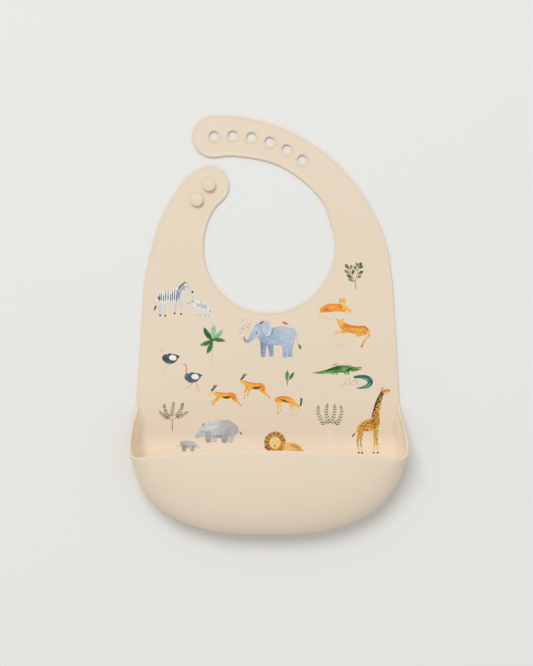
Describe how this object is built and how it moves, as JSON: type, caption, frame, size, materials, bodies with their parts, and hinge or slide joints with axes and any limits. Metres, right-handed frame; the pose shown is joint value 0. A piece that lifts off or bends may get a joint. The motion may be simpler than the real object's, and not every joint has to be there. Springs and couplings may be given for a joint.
{
  "type": "silicone baby bib",
  "caption": "Soft moulded baby bib lying flat, with a wide crumb pocket, a round neck opening and two neck straps that close with studs and holes.",
  "frame": {"origin": "on the flat back of the bib, under the middle of its outline", "axes": "+Z out of the printed front, +Y from the pocket towards the neck opening, +X to the right as seen from the front"},
  "size_m": [0.2062, 0.3196, 0.0426],
  "materials": {
    "silicone": "matte, soft to the touch",
    "silicone_edge": "matte, soft to the touch",
    "printed_ink": "thin matte ink printed on the sheet"
  },
  "bodies": {
    "chest": {"chest_panel": "silicone"},
    "pocket": {"pocket_wall": "silicone", "pocket_lip": "silicone_edge"},
    "shoulder": {"shoulder_panel": "silicone"},
    "left_root": {"left_strap": "silicone"},
    "left_tip": {"left_strap_tip": "silicone", "stud_upper": "silicone_edge", "stud_lower": "silicone_edge"},
    "right_root": {"right_strap": "silicone"},
    "right_middle": {"right_strap_middle": "silicone"},
    "right_tip": {"right_strap_tip": "silicone"}
  },
  "joints": [
    {"name": "pocket_opening", "type": "hinge", "parent": "chest", "child": "pocket", "pos_m": [0, -0.1585, 0], "axis": [1, 0, 0], "range_deg": [0, 12], "stiffness_Nm_per_rad": 0.08},
    {"name": "chest_fold", "type": "hinge", "parent": "chest", "child": "shoulder", "pos_m": [0, -0.03, 0.001], "axis": [1, 0, 0], "range_deg": [-60, 90], "stiffness_Nm_per_rad": 0.007},
    {"name": "left_strap_bend", "type": "hinge", "parent": "shoulder", "child": "left_root", "pos_m": [-0.07, 0.044, 0.001], "axis": [1, 0, 0], "range_deg": [-75, 75], "stiffness_Nm_per_rad": 0.0018},
    {"name": "left_tip_bend", "type": "hinge", "parent": "left_root", "child": "left_tip", "pos_m": [-0.065, 0.079, 0.001], "axis": [0.891, -0.454, 0], "range_deg": [-75, 75], "stiffness_Nm_per_rad": 0.0018},
    {"name": "right_strap_bend", "type": "hinge", "parent": "shoulder", "child": "right_root", "pos_m": [0.07, 0.044, 0.001], "axis": [1, 0, 0], "range_deg": [-75, 45], "stiffness_Nm_per_rad": 0.0018},
    {"name": "right_middle_bend", "type": "hinge", "parent": "right_root", "child": "right_middle", "pos_m": [0.0569, 0.0989, 0.001], "axis": [0.8192, 0.5736, 0], "range_deg": [-60, 45], "stiffness_Nm_per_rad": 0.0018},
    {"name": "right_tip_bend", "type": "hinge", "parent": "right_middle", "child": "right_tip", "pos_m": [-0.0051, 0.1412, 0.001], "axis": [0.2588, 0.9659, 0], "range_deg": [-60, 45], "stiffness_Nm_per_rad": 0.0018}
  ]
}
